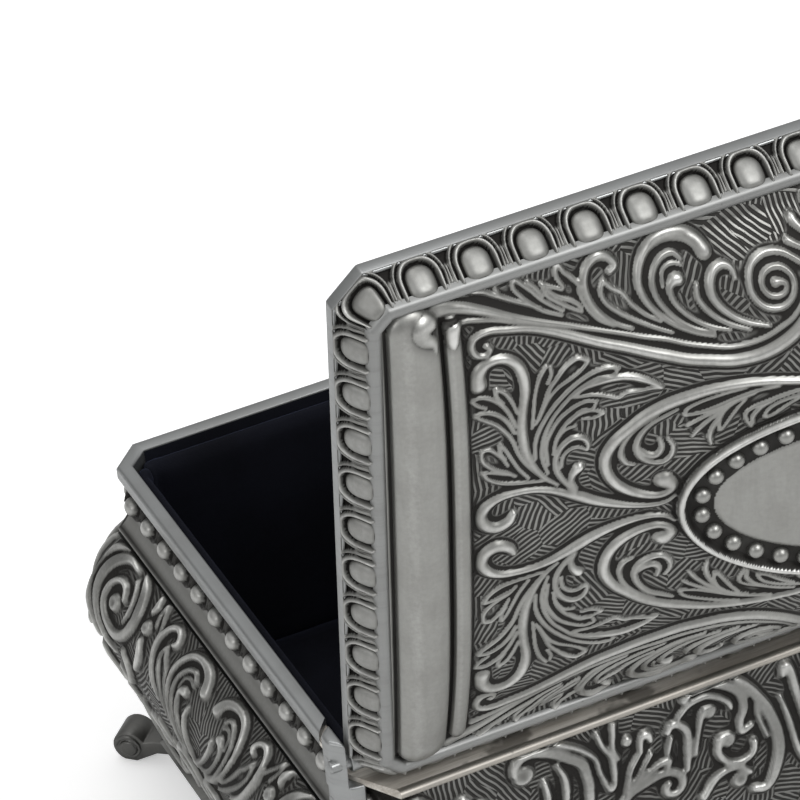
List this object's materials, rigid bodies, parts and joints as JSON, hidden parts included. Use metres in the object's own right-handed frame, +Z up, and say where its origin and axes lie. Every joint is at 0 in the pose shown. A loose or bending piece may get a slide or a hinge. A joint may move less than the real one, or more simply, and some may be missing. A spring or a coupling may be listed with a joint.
{
  "type": "trinket box",
  "caption": "Footed trinket box with a bombe body and a domed lid on two side pins, lined in velvet, with scroll relief, egg borders and an oval beaded cartouche.",
  "frame": {"origin": "on the ground, under the middle of the box as it stands open", "axes": "+Z up, +Y towards the hinge side, X along the long side"},
  "size_m": [0.149, 0.1194, 0.141],
  "materials": {
    "body_shell": "antique pewter plate over cast zinc alloy, dark in the recesses",
    "base_plate": "plain cast zinc alloy",
    "foot_front_left": "antique pewter plate over cast zinc alloy",
    "foot_screw_front_left": "plain steel",
    "foot_front_right": "antique pewter plate over cast zinc alloy",
    "foot_screw_front_right": "plain steel",
    "foot_back_left": "antique pewter plate over cast zinc alloy",
    "foot_screw_back_left": "plain steel",
    "foot_back_right": "antique pewter plate over cast zinc alloy",
    "foot_screw_back_right": "plain steel",
    "hinge_pin_left": "plain steel, ends dressed over",
    "hinge_pin_right": "plain steel, ends dressed over",
    "floor_board": "grey board",
    "floor_pad": "midnight blue-black velvet over thin foam",
    "wall_lining_front": "midnight blue-black velvet on card",
    "wall_lining_right": "midnight blue-black velvet on card",
    "wall_lining_back": "midnight blue-black velvet on card",
    "wall_lining_left": "midnight blue-black velvet on card",
    "lid_shell": "antique pewter plate over cast zinc alloy, dark in the recesses",
    "lid_board": "grey board",
    "lid_pad": "midnight blue-black velvet over thin foam"
  },
  "bodies": {
    "case": {"body_shell": "body_shell", "base_plate": "base_plate", "foot_front_left": "foot_front_left", "foot_screw_front_left": "foot_screw_front_left", "foot_front_right": "foot_front_right", "foot_screw_front_right": "foot_screw_front_right", "foot_back_left": "foot_back_left", "foot_screw_back_left": "foot_screw_back_left", "foot_back_right": "foot_back_right", "foot_screw_back_right": "foot_screw_back_right", "hinge_pin_left": "hinge_pin_left", "hinge_pin_right": "hinge_pin_right", "floor_board": "floor_board", "floor_pad": "floor_pad", "wall_lining_front": "wall_lining_front", "wall_lining_right": "wall_lining_right", "wall_lining_back": "wall_lining_back", "wall_lining_left": "wall_lining_left"},
    "lid": {"lid_shell": "lid_shell", "lid_board": "lid_board", "lid_pad": "lid_pad"}
  },
  "joints": [
    {"name": "lid_hinge", "type": "hinge", "parent": "case", "child": "lid", "pos_m": [0, 0.03138, 0.058], "axis": [1, 0, 0], "range_deg": [0, 97.4]}
  ]
}
